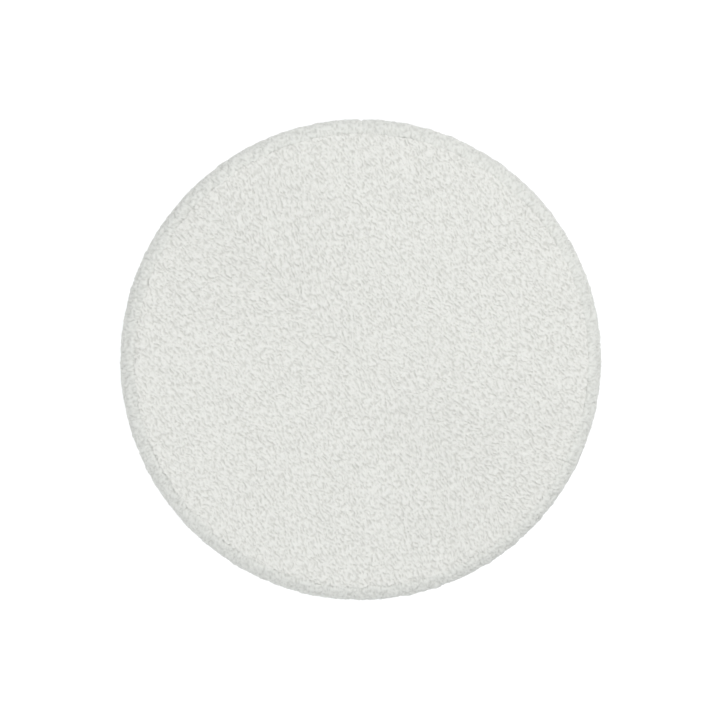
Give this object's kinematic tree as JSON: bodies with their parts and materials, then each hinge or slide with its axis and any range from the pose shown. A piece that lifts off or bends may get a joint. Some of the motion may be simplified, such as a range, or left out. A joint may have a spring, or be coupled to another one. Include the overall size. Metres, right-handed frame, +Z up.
{
  "type": "shower stool",
  "caption": "Round padded bathroom stool with a removable curly-pile cover, bent tube legs tied by a ring, and screw-adjustable swivel feet.",
  "frame": {"origin": "on the floor under the middle of the seat, feet at their normal setting", "axes": "+Z up through the seat; -Y is the front, the legs stand at 45 degrees to X and Y"},
  "size_m": [0.35, 0.35, 0.45],
  "materials": {
    "pile_top": "matte curly pile",
    "pile_band": "matte curly pile",
    "elastic": "woven elastic",
    "calico": "plain woven cotton",
    "foam": "open-cell foam",
    "plywood": "sanded birch plywood",
    "zinc_steel": "zinc-plated",
    "stainless": "satin stainless",
    "tube_chrome": "polished chrome",
    "white_nylon": "moulded nylon",
    "grey_nylon": "moulded nylon",
    "sole_rubber": "matte rubber"
  },
  "bodies": {
    "stool": {"cover_top_panel": "pile_top", "cover_side_band": "pile_band", "hem_elastic": "elastic", "inner_cover": "calico", "staples": "stainless", "foam_pad": "foam", "seat_board": "plywood", "t_nuts": "zinc_steel", "seat_bolts": "stainless", "seat_spacers": "grey_nylon", "leg_end_plugs": "grey_nylon", "leg_inserts": "grey_nylon", "stretcher_ring": "tube_chrome", "ring_nuts": "zinc_steel", "ring_spacers": "grey_nylon", "saddle_washers": "grey_nylon", "ring_screws": "stainless", "leg_front_right": "tube_chrome", "leg_rear_right": "tube_chrome", "leg_rear_left": "tube_chrome", "leg_front_left": "tube_chrome"},
    "foot_front_right": {"foot_base_front_right": "grey_nylon", "foot_sole_front_right": "sole_rubber"},
    "stud_front_right": {"foot_stud_front_right": "stainless"},
    "foot_rear_right": {"foot_base_rear_right": "grey_nylon", "foot_sole_rear_right": "sole_rubber"},
    "stud_rear_right": {"foot_stud_rear_right": "stainless"},
    "foot_rear_left": {"foot_base_rear_left": "grey_nylon", "foot_sole_rear_left": "sole_rubber"},
    "stud_rear_left": {"foot_stud_rear_left": "stainless"},
    "foot_front_left": {"foot_base_front_left": "grey_nylon", "foot_sole_front_left": "sole_rubber"},
    "stud_front_left": {"foot_stud_front_left": "stainless"}
  },
  "joints": [
    {"name": "foot_slide_front_right", "type": "slide", "parent": "stool", "child": "foot_front_right", "axis": [0, 0, -1], "range_m": [-0.0025, 0.01]},
    {"name": "stud_turn_front_right", "type": "hinge", "parent": "foot_front_right", "child": "stud_front_right", "pos_m": [0.10607, -0.10607, 0.02], "axis": [0, 0, -1], "range_deg": [-720, 2880]},
    {"name": "foot_slide_rear_right", "type": "slide", "parent": "stool", "child": "foot_rear_right", "axis": [0, 0, -1], "range_m": [-0.0025, 0.01]},
    {"name": "stud_turn_rear_right", "type": "hinge", "parent": "foot_rear_right", "child": "stud_rear_right", "pos_m": [0.10607, 0.10607, 0.02], "axis": [0, 0, -1], "range_deg": [-720, 2880]},
    {"name": "foot_slide_rear_left", "type": "slide", "parent": "stool", "child": "foot_rear_left", "axis": [0, 0, -1], "range_m": [-0.0025, 0.01]},
    {"name": "stud_turn_rear_left", "type": "hinge", "parent": "foot_rear_left", "child": "stud_rear_left", "pos_m": [-0.10607, 0.10607, 0.02], "axis": [0, 0, -1], "range_deg": [-720, 2880]},
    {"name": "foot_slide_front_left", "type": "slide", "parent": "stool", "child": "foot_front_left", "axis": [0, 0, -1], "range_m": [-0.0025, 0.01]},
    {"name": "stud_turn_front_left", "type": "hinge", "parent": "foot_front_left", "child": "stud_front_left", "pos_m": [-0.10607, -0.10607, 0.02], "axis": [0, 0, -1], "range_deg": [-720, 2880]}
  ],
  "couplings": [
    {"joint": "stud_turn_front_right", "follows": "foot_slide_front_right", "rad_per_m": 5026.5},
    {"joint": "stud_turn_rear_right", "follows": "foot_slide_rear_right", "rad_per_m": 5026.5},
    {"joint": "stud_turn_rear_left", "follows": "foot_slide_rear_left", "rad_per_m": 5026.5},
    {"joint": "stud_turn_front_left", "follows": "foot_slide_front_left", "rad_per_m": 5026.5}
  ]
}
